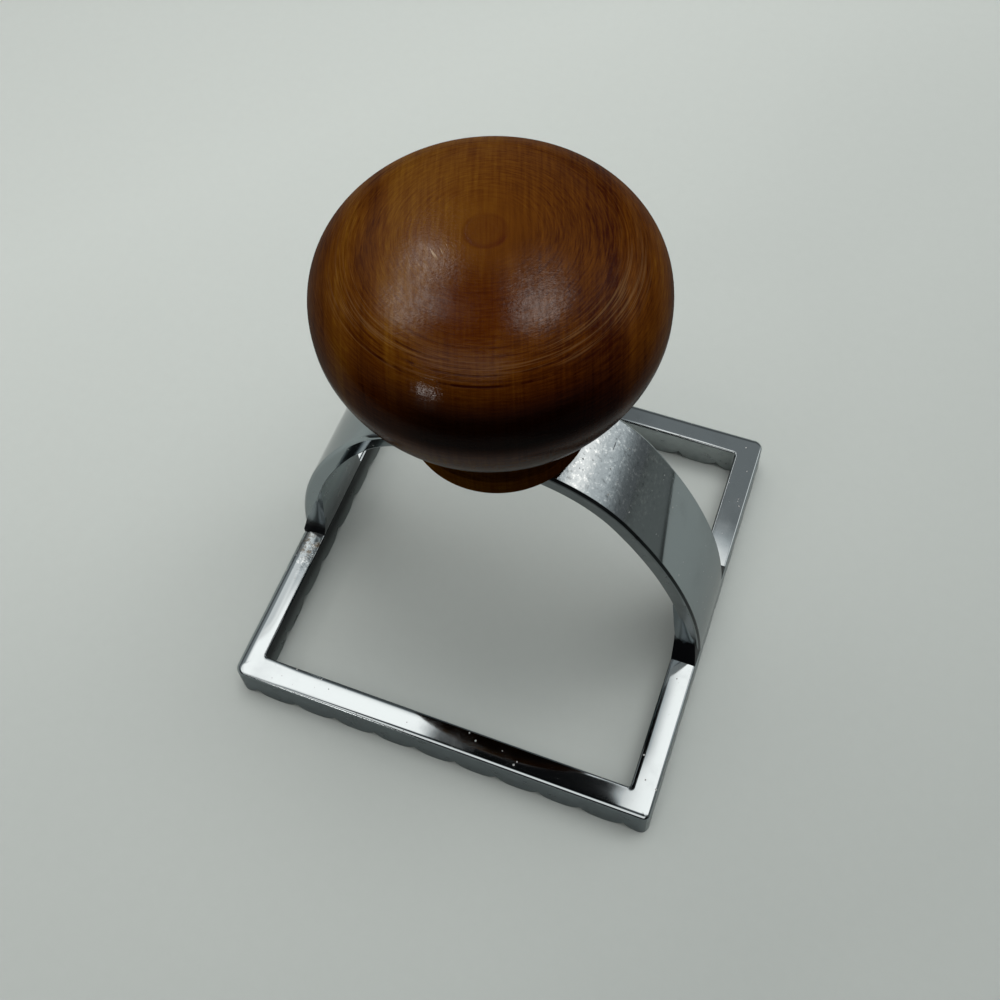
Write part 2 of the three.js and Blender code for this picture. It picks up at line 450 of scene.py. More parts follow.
# Places along a straight rail where the skin needs a section
def railStations(lobes, start, end):
    count = frameShape.flankSteps
    places = {start, end}
    for cusp in cusps(lobes):
        for n in range(-count, count + 1):
            places.add(round(cusp + lobeFlank * n / count, 6))
    return sorted(p for p in places if start <= p <= end)


# Section across a rail: each point with its distance from the outer edge or the opening, and its height
def railSection(outerZ, innerZ, outerEdge, outerDrop, crown, crownPlace):
    s = frameShape
    chamfer = s.cuttingEdge
    span = max(crownPlace, 1 - crownPlace)

    def topAt(t):
        return frameHeight - crown * ((t - crownPlace) / span) ** 2

    def roundedEdge(kind, reach, drop, top):
        turns = [quarterTurn * t for t in steps(s.edgeSteps)]
        return [(kind, reach * (1 - cos(a)), top - drop * (1 - sin(a))) for a in turns]

    points = [("outer", chamfer, outerZ), ("outer", 0.0, outerZ + chamfer)]
    points += roundedEdge("outer", outerEdge, outerDrop, topAt(0))
    points += [("top", t, topAt(t)) for t in steps(s.topSteps)[1:-1]]
    points += reversed(roundedEdge("inner", s.innerTopEdge, s.innerTopEdge, topAt(1)))
    points += [("inner", 0.0, innerZ + chamfer), ("inner", chamfer, innerZ)]
    return points


def cutterFrame():
    s = frameShape
    innerReach = halfOpening - s.innerCorner
    fullLobes = int((2 * halfSide - 2 * s.cornerBlock) / s.lobePitch)
    lobesByRail = [fullLobes, fullLobes, fullLobes - 1, fullLobes]  # front, right, back, left

    def heldInside(along):
        return max(-innerReach, min(innerReach, along))

    # Plan position of a section's point, on the front rail or at its right corner
    def planPoint(kind, offset, height, along, direction, corner, outerEdge):
        rise = 1 - height / frameHeight
        if kind == "outer":
            middle = Vector((along, corner - halfSide))
            return middle + direction * (corner + s.outerSpread * rise - offset)
        if kind == "inner":
            middle = Vector((heldInside(along), -innerReach))
            return middle + direction * (s.innerCorner + s.openingSpread * rise + offset)
        a = planPoint("outer", outerEdge, frameHeight, along, direction, corner, outerEdge)
        b = planPoint("inner", s.innerTopEdge, frameHeight, along, direction, corner, outerEdge)
        return a.lerp(b, offset)

    outward = Vector((0, -1))
    flatTop = (0.0, 0.5)  # a corner's crown and its place
    rings = []
    for rail, lobes in enumerate(lobesByRail):
        quarter = Matrix.Rotation(rail * quarterTurn, 2)
        after = (rail + 1) % 4
        nextLobes = lobesByRail[after]
        first, last = s.outerTopEdge[rail]
        drop = s.outerTopDrop[rail]
        edges = [(last, drop), (s.outerTopEdge[after][0], s.outerTopDrop[after])]
        lastCorner, corner = s.outerCorner[rail - 1], s.outerCorner[rail]
        outerReach = halfSide - corner
        innerEnd = scallopHeight(innerReach, lobes)
        innerNext = scallopHeight(innerReach, nextLobes)
        stations = []
        for along in railStations(lobes, lastCorner - halfSide, outerReach):
            edge = lerp(first, last, smooth((along + halfSide - lastCorner) / halfSide))
            crown = s.crown[rail] * smooth((innerReach - abs(along)) / s.crownFade)
            heights = (scallopHeight(along, lobes), scallopHeight(heldInside(along), lobes))
            stations.append((along, outward, *heights, (edge, drop, crown, s.crownPlace[rail])))
        for t in steps(s.cornerSteps)[1:-1]:
            angle = (t - 1) * quarterTurn
            direction = Vector((cos(angle), sin(angle)))
            outerEnd = scallopHeight(outerReach, lobes if t < 0.5 else nextLobes)
            edge, fall = [lerp(a, b, t) for a, b in zip(*edges)]
            heights = (outerEnd * abs(2 * t - 1), lerp(innerEnd, innerNext, t))
            stations.append((outerReach, direction, *heights, (edge, fall, *flatTop)))
        for along, direction, outerZ, innerZ, railTops in stations:
            ring = []
            for kind, offset, height in railSection(outerZ, innerZ, *railTops):
                plan = quarter @ planPoint(kind, offset, height, along, direction, corner, railTops[0])
                ring.append((plan.x, plan.y, height))
            rings.append(ring)
    return plated(skinRings("scallopedFrame", rings, loop=True))


frameLook = Look(
    scratchAlong=(0.5, 0.5, 6),
    dust=0.07,  # share of cells with a speck
    dent=(0.8, -11.0, 5.0),  # mm in from the left rail's edge, along it, and reach
    dentScale=1.0,
    stain=(2.4, -9.4, 3.4),  # the same
    # tint, share of the mirror image at a flat angle, then the tint lower down and the heights between; the
    # front wall and the inside walls of the left and right rails are darkened as painted shade, the inside
    # walls nearly black at the top
    frontTarnish=((0.195, 0.225, 0.24), 0.6),
    flankTarnish=((0.4, 0.44, 0.45), 0.6),  # outside of the left and right rails
    sideTarnish=((0.03, 0.032, 0.033), 0.55, (0.30, 0.33, 0.33), (5.0, 0.5)),  # inside of them
    backTarnish=((0.29, 0.315, 0.315),),
    insideSlant=0.6,  # a wall's normal points up or down by less than this
    insideBand=0.7,  # mm, how thick a layer counts as the wall
    outsideSlant=0.35, outsideBand=0.5,
)


def onLeftRail(inset, along, reach):
    return Vector((inset - halfSide, along, frameHeight)), reach


# Test for the faces of inner or outer walls, on the left and right rails (sideways) or the other two
def wallTest(inside, sideways):
    look = frameLook

    def picks(middle, normal):
        facing = normal.x * middle.x + normal.y * middle.y
        place = max(abs(middle.x), abs(middle.y))
        if inside:
            wall = facing < 0 and place < halfOpening + look.insideBand and abs(normal.z) < look.insideSlant
            return wall and (abs(middle.x) > abs(middle.y)) == sideways
        wall = facing > 0 and place > halfSide - look.outsideBand and abs(normal.z) < look.outsideSlant
        return wall and (abs(normal.x) > abs(normal.y)) == sideways

    return picks


def paintWalls(piece):
    look = frameLook
    for name, tints, inside, sideways in (("railFront", look.frontTarnish, False, False),
                                          ("railFlank", look.flankTarnish, False, True),
                                          ("sideTarnish", look.sideTarnish, True, True),
                                          ("backTarnish", look.backTarnish, True, False)):
        paintFaces(piece, newMaterial(name, dullAndShaded, *tints), wallTest(inside, sideways))


scallopedFrame = cutterFrame()
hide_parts("cutter_frame")
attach(scallopedFrame, "root")
scallopedFrame.data.materials.append(newMaterial(
    "frameChrome", chrome, frameLook.scratchAlong, frameLook.dust, onLeftRail(*frameLook.dent),
    frameLook.dentScale, onLeftRail(*frameLook.stain), None))
paintWalls(scallopedFrame)
print("frame skinned:", len(scallopedFrame.data.polygons), "faces")


# Strap arch: a flat seat, two shoulders and two long curved legs

archShape = Look(
    width=12.7,  # mm, across the strap
    thickness=2.3,
    seatHalf=3.6,  # half the flat under the knob
    shoulderRadius=20.0,
    legLean=6.0,  # degrees at the foot
    bevel=0.25,  # sloping part of the outer edges
    bevelSlope=45.0,  # degrees
    bevelTop=0.3,  # radius where it meets the face
    bevelFront=0.4,  # radius where it meets the edge
    innerEdge=0.25,
    edgeSteps=5, legSteps=40, shoulderSteps=36,
)
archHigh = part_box("handle_arch")[1]
seatHeight = archHigh.z / mm


# Centres and radii of the arcs that make up the outer line of the arch
def archArcs():
    s = archShape
    lean = radians(s.legLean)
    shoulderZ = seatHeight - s.shoulderRadius
    inset = s.seatHalf - halfSide
    climb = shoulderZ - frameHeight
    over = s.shoulderRadius ** 2 - inset ** 2 - climb ** 2
    under = 2 * (inset * cos(lean) + climb * sin(lean) + s.shoulderRadius)
    legRadius = over / under
    legX = halfSide - legRadius * cos(lean)
    legZ = frameHeight - legRadius * sin(lean)
    turn = atan2(shoulderZ - legZ, s.seatHalf - legX)
    return Look(legRadius=legRadius, legX=legX, legZ=legZ, turn=turn, shoulderZ=shoulderZ)


arcs = archArcs()


# Outer or inner line of the right half, from foot to seat, as (x, z)
def archLine(depth):
    s = archShape
    legRadius = arcs.legRadius - depth
    foot = asin((frameHeight - arcs.legZ) / legRadius)
    leg = arcPoints((arcs.legX, arcs.legZ), legRadius, foot, arcs.turn, s.legSteps)
    shoulder = arcPoints((s.seatHalf, arcs.shoulderZ), s.shoulderRadius - depth,
                         arcs.turn, quarterTurn, s.shoulderSteps)
    return leg + shoulder[1:]


# Section of the strap, bevelled outside and round inside: share of thickness from the inside, place across
def strapSection():
    s = archShape
    half = s.width / 2
    slope = radians(s.bevelSlope)
    down, out = sin(slope), cos(slope)
    reach = s.bevelTop * down + s.bevel * out + s.bevelFront * (1 - down)
    upper = arcPoints((s.bevelTop, half - reach), s.bevelTop, pi, pi - slope, s.edgeSteps)
    depth = upper[-1][0] + s.bevel * down + s.bevelFront * out
    across = upper[-1][1] + s.bevel * out - s.bevelFront * down
    front = arcPoints((depth, across), s.bevelFront, pi - slope, quarterTurn, s.edgeSteps)
    inside = (s.thickness - s.innerEdge, half - s.innerEdge)
    edge = upper + front + arcPoints(inside, s.innerEdge, quarterTurn, 0.0, s.edgeSteps)
    points = edge + [(d, -a) for d, a in reversed(edge)]
    return [(1 - d / s.thickness, a) for d, a in points]


def strapArch():
    outer = archLine(0.0)
    inner = archLine(archShape.thickness)
    halves = list(zip(outer, inner))
    mirrored = [((-a[0], a[1]), (-b[0], b[1])) for a, b in reversed(halves)]
    section = strapSection()
    rings = []
    for (ox, oz), (ix, iz) in halves + mirrored:
        rings.append([(lerp(ix, ox, share), across, lerp(iz, oz, share)) for share, across in section])
    return plated(skinRings("strapArch", rings))


archLook = Look(
    scratchAlong=(0.4, 5, 0.4),
    dust=0.04,
    pitPlace=(13.0, 1.0, -4.0),  # mm from the middle of the seat
    pitReach=15.0, pitScale=2.2, strokeReach=8.0,
    # painted shade: darker faces inside the arch and on the braze, darkest near the feet
    insideTarnish=((0.14, 0.19, 0.20), 1.0, (0.03, 0.04, 0.045), (17.0, 8.0)),  # darker near the feet
    edgeTarnish=(0.03, 0.034, 0.036),  # thin dark line along the front edge's right half
    # painted shade: the front edge of the right half is darker
    frontTarnish=(0.2, 0.22, 0.225),
    bevelFacing=(-0.75, -0.1),  # how far the bevel's normal points to the back
    middleHeight=15.0,  # mm, what the arch's inside faces
    insideFacing=-0.5,
)
insideTarnish = newMaterial("insideTarnish", dullAndShaded, *archLook.insideTarnish)


def facesMiddle(middle, normal):
    away = middle - Vector((0, 0, archLook.middleHeight))
    limit = archLook.insideFacing * hypot(away.x, away.z)
    return normal.x * away.x + normal.z * away.z < limit


def frontBevel(middle, normal):
    low, high = archLook.bevelFacing
    return middle.x > 0 and low < normal.y < high and not facesMiddle(middle, normal)


strapPiece = strapArch()
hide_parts("handle_arch")
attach(strapPiece, "root")
pittedSpot = Vector(archLook.pitPlace) + Vector((0, 0, seatHeight))
strapPiece.data.materials.append(newMaterial(
    "strapChrome", chrome, archLook.scratchAlong, archLook.dust, (pittedSpot, archLook.pitReach),
    archLook.pitScale, None, (pittedSpot, archLook.strokeReach)))
paintFaces(strapPiece, insideTarnish, facesMiddle)
paintFaces(strapPiece, newMaterial("edgeTarnish", dullAndShaded, archLook.edgeTarnish), frontBevel)
paintFaces(strapPiece, newMaterial("frontTarnish", dullAndShaded, archLook.frontTarnish),
           lambda middle, normal: middle.x > 0 and normal.y < archLook.bevelFacing[0])
print("arch bent:", len(strapPiece.data.polygons), "faces")


# Braze around a foot: a tapered wedge inside the leg and a cove in front of it and behind it

brazeShape = Look(
    rise=14.0,  # mm up the inside of the leg
    margin=0.05,  # rail left bare at the opening
    covePeak=11.0,  # mm up the middle of the strap's edge
    coveLow=4.2,  # mm up at both ends of a cove
    peakBend=1.5,  # how sharply a cove comes to its peak
    rowBend=1.5,  # how its rows crowd toward the rail
    block=(2.8, 1.2),  # mm, straight slope at the bottom of a cove, right foot and left foot
    reach=(2.3, 0.9),  # mm along the rail
    waist=0.4,  # what is left of that above the slope
    insetLow=0.12,  # mm behind the strap's face, at the rail
    insetShare=0.4,  # and higher up, as a share of its thickness
    insetRise=5.0,  # mm over which it grows
    sink=0.03,  # how far its thin edges dip into the strap
    buried=0.4,  # mm hidden inside the strap
    lump=0.05,
    lumpScale=0.4,  # lumps per mm
    acrossSteps=28, curveSteps=18,
)
brazeHalf = archShape.width / 2 - brazeShape.sink


def legAt(z, depth):
    return arcs.legX + sqrt((arcs.legRadius - depth) ** 2 - (z - arcs.legZ) ** 2)


def wedgeAt(z):
    crest = frameHeight + brazeShape.rise
    low = halfOpening + brazeShape.margin
    return lerp(low, legAt(crest, archShape.thickness), (z - frameHeight) / brazeShape.rise)


# Height of the rail's top, which drops over its rounded outer edge
def railTop(x, radius):
    over = min(max(0.0, x - (halfSide - radius)), radius)
    return frameHeight - radius + sqrt(radius ** 2 - over ** 2)


def wedgeRings(seed):
    b = brazeShape
    rows = steps(b.curveSteps)
    rings = []
    for u in steps(b.acrossSteps):
        y = lerp(-brazeHalf, brazeHalf, u)
        ring = []
        for t in rows:
            z = frameHeight + b.rise * t
            place = Vector((seed, y * b.lumpScale, z * b.lumpScale))
            lump = b.lump * noise.noise(place) * sin(pi * t)
            ring.append((wedgeAt(z) + lump, y, z))
        for t in rows:
            z = frameHeight + b.rise * (1 - t)
            ring.append((legAt(z, archShape.thickness) + b.buried, y, z))
        rings.append(ring)
    return rings


# A steep block on the rail that thins to a tongue up the strap's edge
def coveRings(side, outerEdge, block, reach):
    b = brazeShape
    insetHigh = archShape.thickness * b.insetShare
    buriedY = side * (brazeHalf - b.buried)
    rings = []
    for u in steps(b.acrossSteps):
        rise = lerp(b.coveLow, b.covePeak, sin(pi * u) ** b.peakBend)
        ring = []
        for t in steps(b.curveSteps):
            up = rise * t ** b.rowBend
            z = frameHeight + up
            if up < block:
                out = lerp(reach, b.waist, up / block)
            else:
                out = b.waist * (1 - (up - block) / (rise - block))
            inset = lerp(b.insetLow, insetHigh, min(1.0, up / b.insetRise))
            x = lerp(wedgeAt(z), legAt(z, 0.0) - inset, u)
            ring.append((x, side * (brazeHalf + out), z if t else railTop(x, outerEdge) - b.sink))
        ring += [(x, buriedY, z) for x, _, z in (ring[-1], ring[0])]
        rings.append(ring)
    return rings


def brazedFoot(name, mirror, seed, coveSizes):
    def solid(solidName, rings):
        made = skinRings(solidName, [[(mirror * x, y, z) for x, y, z in ring] for ring in rings])
        tidyMesh(made)
        return made

    piece = solid(name, wedgeRings(seed))
    combine(piece, [solid("cove", coveRings(side, *coveSizes)) for side in (-1, 1)], "UNION")
    tidyMesh(piece)
    return piece


brazeLook = Look(
    tint=(0.19, 0.225, 0.245),
    roughness=0.28,
    # painted shade: a nearly black band along the bottom of each foot, with a ragged upper edge
    burnt=(0.012, 0.012, 0.014),
    burntRise=(3.4, 1.6),  # mm up from the rail, right foot and left foot
    burntFade=(0.5, 3.0),  # mm, soft upper edge
    burntFull=-0.3,  # mm, where it is whole
    burntRough=0.2,  # extra roughness
    ragged=(0.7, 3, 0.6),
    raggedHeight=3.0,  # mm, how uneven its edge is
    lumps=(0.6, 2, 0.5),
    lumpHeight=0.012,  # mm
    insideFacing=-20.0,  # mm, place along X times the normal's part along it
)


def brazeMetal(point, burntRise, burntFade):
    b = brazeLook
    # painted shade at the bottom of the foot, up to a ragged edge
    ragged = splitUp(point)[2] + (grain(point, *b.ragged) - 0.5) * b.raggedHeight
    burnt = ease(ragged, (burntFade, b.burntFull), frameHeight + burntRise)
    return {
        "Base Color": blendColour(burnt, b.tint, b.burnt),
        "Roughness": burnt * b.burntRough + b.roughness,
        "Metallic": 1.0,
        "Normal": bumped(grain(point, *b.lumps) * b.lumpHeight),
    }


# Name, node, side of the frame, seed of the lumps and rail of each foot
feet = (("rightBraze", "right_foot_braze", 1, 0.0, 1), ("leftBraze", "left_foot_braze", -1, 17.0, 3))
for index, (footName, node, mirror, seed, rail) in enumerate(feet):
    railEdge = frameShape.outerTopEdge[rail][0]
    foot = brazedFoot(footName, mirror, seed,
                      (railEdge, brazeShape.block[index], brazeShape.reach[index]))
    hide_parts(node)
    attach(foot, "root")
    foot.data.materials.clear()
    foot.data.materials.append(newMaterial(footName + "Metal", brazeMetal, brazeLook.burntRise[index],
                                           brazeLook.burntFade[index]))
    paintFaces(foot, insideTarnish, lambda middle, normal: normal.x * middle.x < brazeLook.insideFacing)
print("feet brazed")


# Wooden knob, turned about Z

knobShape = Look(
    domeRise=11.1,  # mm, widest ring to the top
    domePower=2.7,
    domeSpacing=0.9,  # spreads the rows around the top's middle
    bellyDrop=20.0, bellyPower=1.6, neckRadius=9.8,
    footRadius=11.5, footHeight=3.2, footEdge=0.7, pilotRadius=2.2, pilotDepth=16.2,
    sides=160, footSteps=8, neckSteps=12, bellySteps=48, domeSteps=220,
    mark=(2.15, 0.012, 0.16),  # ring left by the lathe centre: radius, depth, half width
    grooves=((16.2, 0.014, 0.16), (15.8, 0.007, 0.12), (15.35, 0.012, 0.15), (14.8, 0.006, 0.12),
             (14.3, 0.009, 0.14), (13.7, 0.005, 0.12), (13.0, 0.006, 0.12)),  # the same
)
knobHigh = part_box("wood_knob")[1]
knobRadius = knobHigh.x / mm
knobTop = knobHigh.z / mm
bulbZ = knobTop - knobShape.domeRise


def grooveDepth(radius):
    depth = 0.0
    for place, deep, half in (*knobShape.grooves, knobShape.mark):
        gap = abs(radius - place) / half
        if gap < 1:
            depth = max(depth, deep * (1 + cos(pi * gap)) / 2)
    return depth


def knobProfile():
    k = knobShape
    pilotTop = seatHeight + k.pilotDepth
    profile = [(0.0, pilotTop), (k.pilotRadius, pilotTop), (k.pilotRadius, seatHeight)]
    edgeMiddle = (k.footRadius - k.footEdge, seatHeight + k.footEdge)
    profile += arcPoints(edgeMiddle, k.footEdge, -quarterTurn, 0.0, k.footSteps)
    power = 2 / k.bellyPower
    bellyEnd = acos((k.neckRadius / knobRadius) ** (1 / power))
    neckZ = bulbZ - k.bellyDrop * sin(bellyEnd) ** power
    footTop = seatHeight + k.footHeight
    profile += curvePoints((k.footRadius, footTop), (k.neckRadius, footTop),
                           (k.neckRadius, neckZ), k.neckSteps)
    for t in steps(k.bellySteps)[1:]:
        angle = bellyEnd * (1 - t)
        profile.append((knobRadius * cos(angle) ** power,
                        bulbZ - k.bellyDrop * sin(angle) ** power))
    for t in steps(k.domeSteps)[1:-1]:
        share = sin(quarterTurn * (1 - t)) ** k.domeSpacing
        height = k.domeRise * (1 - share ** k.domePower) ** (1 / k.domePower)
        radius = knobRadius * share
        profile.append((radius, bulbZ + height - grooveDepth(radius)))
    profile.append((0.0, knobTop))
    return profile


# Spans are in mm: heights from the widest ring, and radii or places where nothing else is said
woodLook = Look(
    dark=(0.026, 0.004, 0.0005),
    middle=(0.086, 0.026, 0.002),
    golden=(0.15, 0.062, 0.005),
    grainTurn=20.5,  # degrees, how far the boards' grain lies from the frame's front to back
    # growth bands from the knob's left side to its right: place in mm and paleness, which is partly painted
    # light, lighter on the left and darker on the right
    bands=((-18.5, 0.34), (-16.8, 0.3), (-14.4, 0.69), (-11.7, 0.27), (-9.2, 0.71), (-6.0, 0.62),
           (-2.0, 0.6), (1.8, 0.54), (4.0, 0.42), (8.0, 0.32), (11.0, 0.22), (12.6, 0.14),
           (14.2, 0.4), (16.0, 0.3), (17.5, 0.52), (19.0, 0.38)),
    swayStretch=(0.5, 1, 1),
    sway=(0.05, 2, 0.5),
    swayWidth=5.0,  # mm, how far the bands wander
    lineStretch=(2.6, 0.12, 0.1),
    lines=(1.0, 3, 0.6),
    lineTone=0.7,
    blotches=(0.09, 3, 0.55),
    blotchTone=0.5,
    # noise drawn out along the lathe's circles: bumps per mm across and along them, detail, roughness
    flecks=(4.6, 0.5, 2, 0.65),
    turning=(3.4, 0.1, 2, 0.7),
    latheSlope=0.9,  # how much the height counts beside the radius
    fleckTone=(0.15, 0.9),  # at the top's middle and outside it
    fleckRadii=(2.5, 8.0),
    markTint=(0.045, 0.007, 0.002),  # left by the lathe centre
    markEdge=(0.4, -0.1),  # from its ring
    markRim=(-0.7, 0.0),
    markBreaks=((0.3, 2, 0.5), (0.3, 0.7)),
    markTone=(0.5, 0.22),  # on the rim and inside it
    markHeights=(-3.0, -2.0),  # from the top
    zoneRadii=((12.4, 14.4), (17.2, 16.0)),  # turning lines near the shoulder
    zoneHeights=(4.0, 6.0),
    # painted sheen: pale turning lines, stronger toward the front
    ringTint=(0.19, 0.105, 0.04),
    ringSpan=(0.5, 0.66),  # of the turning noise
    ringTone=(0.08, 0.36),  # at the back and in front
    ringFront=(-0.2, 0.6),
    darkRingSpan=(0.44, 0.3),
    darkRingTone=0.6,
    scoredFront=(0.3, 0.8),  # dark lines in the grooves
    scoredHeights=(5.0, 6.5),
    scoredBreaks=((0.35, 3, 0.6), (0.36, 0.58)),
    scoredFull=0.2,  # share of a groove's half width
    bellyShade=0.64,  # painted shade, darker below the bulb's widest ring
    bellyHeights=(6.5, -5.0),
    underShade=0.2,  # and again toward the neck, but not on the foot
    underHeights=((-3.0, -8.0), (-19.5, -16.0)),
    frontShade=0.06,  # and nearly black at the front right
    # redder tint of the painted shade at the front right
    frontTint=(1.0, 0.6, 0.5),
    frontAlong=(0.4, -0.917, 0.0),
    frontSpan=(0.5, 0.97),
    frontHeights=((10.3, 4.8), (-2.0, 2.0)),
    # painted shade: a darker, redder place between the two highlights on the top's front; the varnish is
    # thinner there too
    wornPlace=(2.2, -9.2, 79.4),
    wornTint=(0.55, 0.36, 0.25),
    wornReach=8.0,
    # painted glints: lighter scratch strokes on the top
    scratchTint=(0.55, 0.42, 0.27),
    scratchPlace=(-3.9, -3.2, 80.0),
    scratchReach=2.0,
    scratchTurn=48.0,  # degrees
    scratchStretch=(0.55, 5.5, 1.0),
    scratches=((1.0, 1, 0.5), (0.62, 0.7)),
    scratchTone=0.6,
)


# Where a point of the knob lies, and the lathe's noise there
def knobPlaces(point):
    w = woodLook
    x, y, z = splitUp(point)
    radius = (x * x + y * y).calc("SQRT")
    down = radius - z * w.latheSlope

    def latheLines(perMm, perMmAlong, detail, roughness):
        inputs = {0: down * perMm, 1: x * perMmAlong, 2: y * perMmAlong}
        return grain(addField(point.tree, "CombineXYZ", 0, inputs), 1.0, detail, roughness)

    return Look(
        point=point, z=z, radius=radius,
        turned=turnedAboutZ(point, -w.grainTurn),
        ahead=alongWay(point, w.frontAlong) / radius.calc("MAXIMUM", 1.0),  # 1 at the front right
        flecks=latheLines(*w.flecks),
        turning=latheLines(*w.turning),
        zone=band(radius, w.zoneRadii) * ease(z, w.zoneHeights, bulbZ))


# Growth bands run away from the camera on the top and down the front
def woodGrain(at):
    w = woodLook
    sway = grain(stretched(at.turned, w.swayStretch), *w.sway)
    across = splitUp(at.turned)[0] + (sway - 0.5) * w.swayWidth
    low, high = w.bands[0][0], w.bands[-1][0]
    stops = [((place - low) / (high - low), (paleness,) * 3) for place, paleness in w.bands]
    tone = splitUp(colourRamp((across - low) / (high - low), stops), "Color")[0]
    lines = grain(stretched(at.turned, w.lineStretch), *w.lines)
    tone = (lines - 0.5) * w.lineTone + tone
    tone = (at.flecks - 0.5) * lerp(*w.fleckTone, ease(at.radius, w.fleckRadii)) + tone
    tone = (grain(at.point, *w.blotches) - 0.5) * w.blotchTone + tone
    return colourRamp(tone, ((0.0, w.dark), (0.5, w.middle), (1.0, w.golden)))


# Mark of the lathe centre on the top, then turning lines near the shoulder: pale ones painted as sheen, and
# dark ones
def latheMarks(at, colour):
    w = woodLook
    markRadius = knobShape.mark[0]
    inside = ease(at.radius, w.markEdge, markRadius)
    rim = inside * ease(at.radius, w.markRim, markRadius) * patches(at.point, w.markBreaks)
    mark = rim * w.markTone[0] + inside * w.markTone[1]
    colour = blendColour(mark * ease(at.z, w.markHeights, knobTop), colour, w.markTint)
    toFront = lerp(*w.ringTone, ease(at.ahead, w.ringFront))
    colour = blendColour(at.zone * ease(at.turning, w.ringSpan) * toFront, colour, w.ringTint)
    dark = at.zone * ease(at.turning, w.darkRingSpan) * w.darkRingTone
    return blendColour(dark, colour, w.dark)


# Dark lines that follow the grooves, with breaks
def scoredLines(at, colour):
    w = woodLook
    grooves = knobShape.grooves
    lines = 0.0
    for place, deep, half in grooves:
        gap = (at.radius - place).calc("ABSOLUTE")
        line = ease(gap, (half, w.scoredFull * half)) * (deep / grooves[0][1])
        lines = line.calc("MAXIMUM", lines)
    scored = ease(at.ahead, w.scoredFront) * ease(at.z, w.scoredHeights, bulbZ)
    return blendColour(scored * patches(at.point, w.scoredBreaks) * lines, colour, w.dark)


# Painted shade: darker belly and neck, a nearly black front right, and a darker, redder place between the
# two highlights on the top
def paintedShade(at, colour):
    w = woodLook
    shade = lerp(1, w.bellyShade, ease(at.z, w.bellyHeights, bulbZ))
    shade = dimmed(shade, band(at.z, w.underHeights, bulbZ), w.underShade)
    front = ease(at.ahead, w.frontSpan) * band(at.z, w.frontHeights, bulbZ)
    shade = dimmed(shade, front, w.frontShade)
    colour = blendColour(front, colour, w.frontTint, "MULTIPLY")
    gapShade = nearPoint(at.point, w.wornPlace, w.wornReach)
    return scaledColour(blendColour(gapShade, colour, w.wornTint, "MULTIPLY"), shade)


# A few scratches on the top, painted lighter as glints
def scratched(at, colour):
    w = woodLook
    slanted = stretched(turnedAboutZ(at.point, w.scratchTurn), w.scratchStretch)
    near = nearPoint(at.point, w.scratchPlace, w.scratchReach)
    return blendColour(patches(slanted, w.scratches) * near * w.scratchTone, colour, w.scratchTint)


varnishLook = Look(
    weight=0.3,  # where it is whole
    wornWeight=0.09,  # on the shoulder and the belly
    wholeRadii=(14.0, 11.8),
    wholeHeights=(0.0, 3.0),
    shoulderRadii=(17.0, 15.4),
    shoulderFront=(0.65, 0.9),
    shoulderShare=0.5,
    wornReach=6.0,  # mm around the gap between the highlights
    wornTone=0.25,
    shine=0.62,  # added at the places where it is thick
    shinePlaces=((-4.0, -5.8, 79.7), (-4.0, -9.6, 79.1), (6.4, -3.4, 79.7), (8.1, -6.2, 79.2)),
    shineReach=5.0,
    dripPlace=(0.4, -17.1, 75.9),
    dripReach=2.2,
    mottleStretch=(2.4, 0.9, 0.9),
    mottles=((1.0, 4, 0.75), (0.32, 0.68)),
    mottleTone=(0.3, 1.6),
    rimWeight=0.18,  # added below the widest ring
    rimHeights=((1.5, -0.5), (-9.0, -6.0)),
    bareHeights=(-13.0, -7.0),
    roughness=0.11,
    woodRough=(0.3, 0.5),  # of the wood beneath
    fineStretch=(1, 1.6, 1.6),
    fine=(2.2, 3, 0.65),
    fineHeight=0.026,  # mm, like the next two
    fleckHeight=0.005, turningHeight=0.018,
)


def varnishWeight(at):
    v = varnishLook
    shoulder = ease(at.radius, v.shoulderRadii) * ease(at.ahead, v.shoulderFront)
    whole = ease(at.radius, v.wholeRadii).calc("MAXIMUM", shoulder * v.shoulderShare)
    whole = whole * ease(at.z, v.wholeHeights, bulbZ)
    whole = dimmed(whole, nearPoint(at.point, woodLook.wornPlace, v.wornReach), v.wornTone)
    shiny = nearPoint(at.point, v.dripPlace, v.dripReach)
    for place in v.shinePlaces:
        shiny = shiny.calc("MAXIMUM", nearPoint(at.point, place, v.shineReach))
    mottled = patches(stretched(at.turned, v.mottleStretch), v.mottles)
    weight = lerp(v.wornWeight, v.weight, whole)
    weight = shiny * lerp(*v.mottleTone, mottled) * v.shine + weight
    weight = band(at.z, v.rimHeights, bulbZ) * v.rimWeight + weight
    return weight * ease(at.z, v.bareHeights, bulbZ)


def stainedWood(point):
    v = varnishLook
    at = knobPlaces(point)
    colour = scoredLines(at, latheMarks(at, woodGrain(at)))
    height = grain(stretched(at.turned, v.fineStretch), *v.fine) * v.fineHeight
    height = at.flecks * v.fleckHeight + height
    normal = bumped(at.turning * at.zone * v.turningHeight + height)
    return {
        "Base Color": scratched(at, paintedShade(at, colour)),
        "Roughness": lerp(*v.woodRough, at.flecks),
        "Specular IOR Level": 0.0,
        "Coat Weight": varnishWeight(at),
        "Coat Roughness": v.roughness,
        "Normal": normal,
        "Coat Normal": normal,
    }


turnedKnob = turnProfile("turnedKnob", knobProfile(), knobShape.sides)
tidyMesh(turnedKnob)
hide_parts("wood_knob")
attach(turnedKnob, "root")
turnedKnob.data.materials.append(newMaterial("stainedWood", stainedWood))
print("knob turned:", len(turnedKnob.data.polygons), "faces")


# Slotted screw under the arch

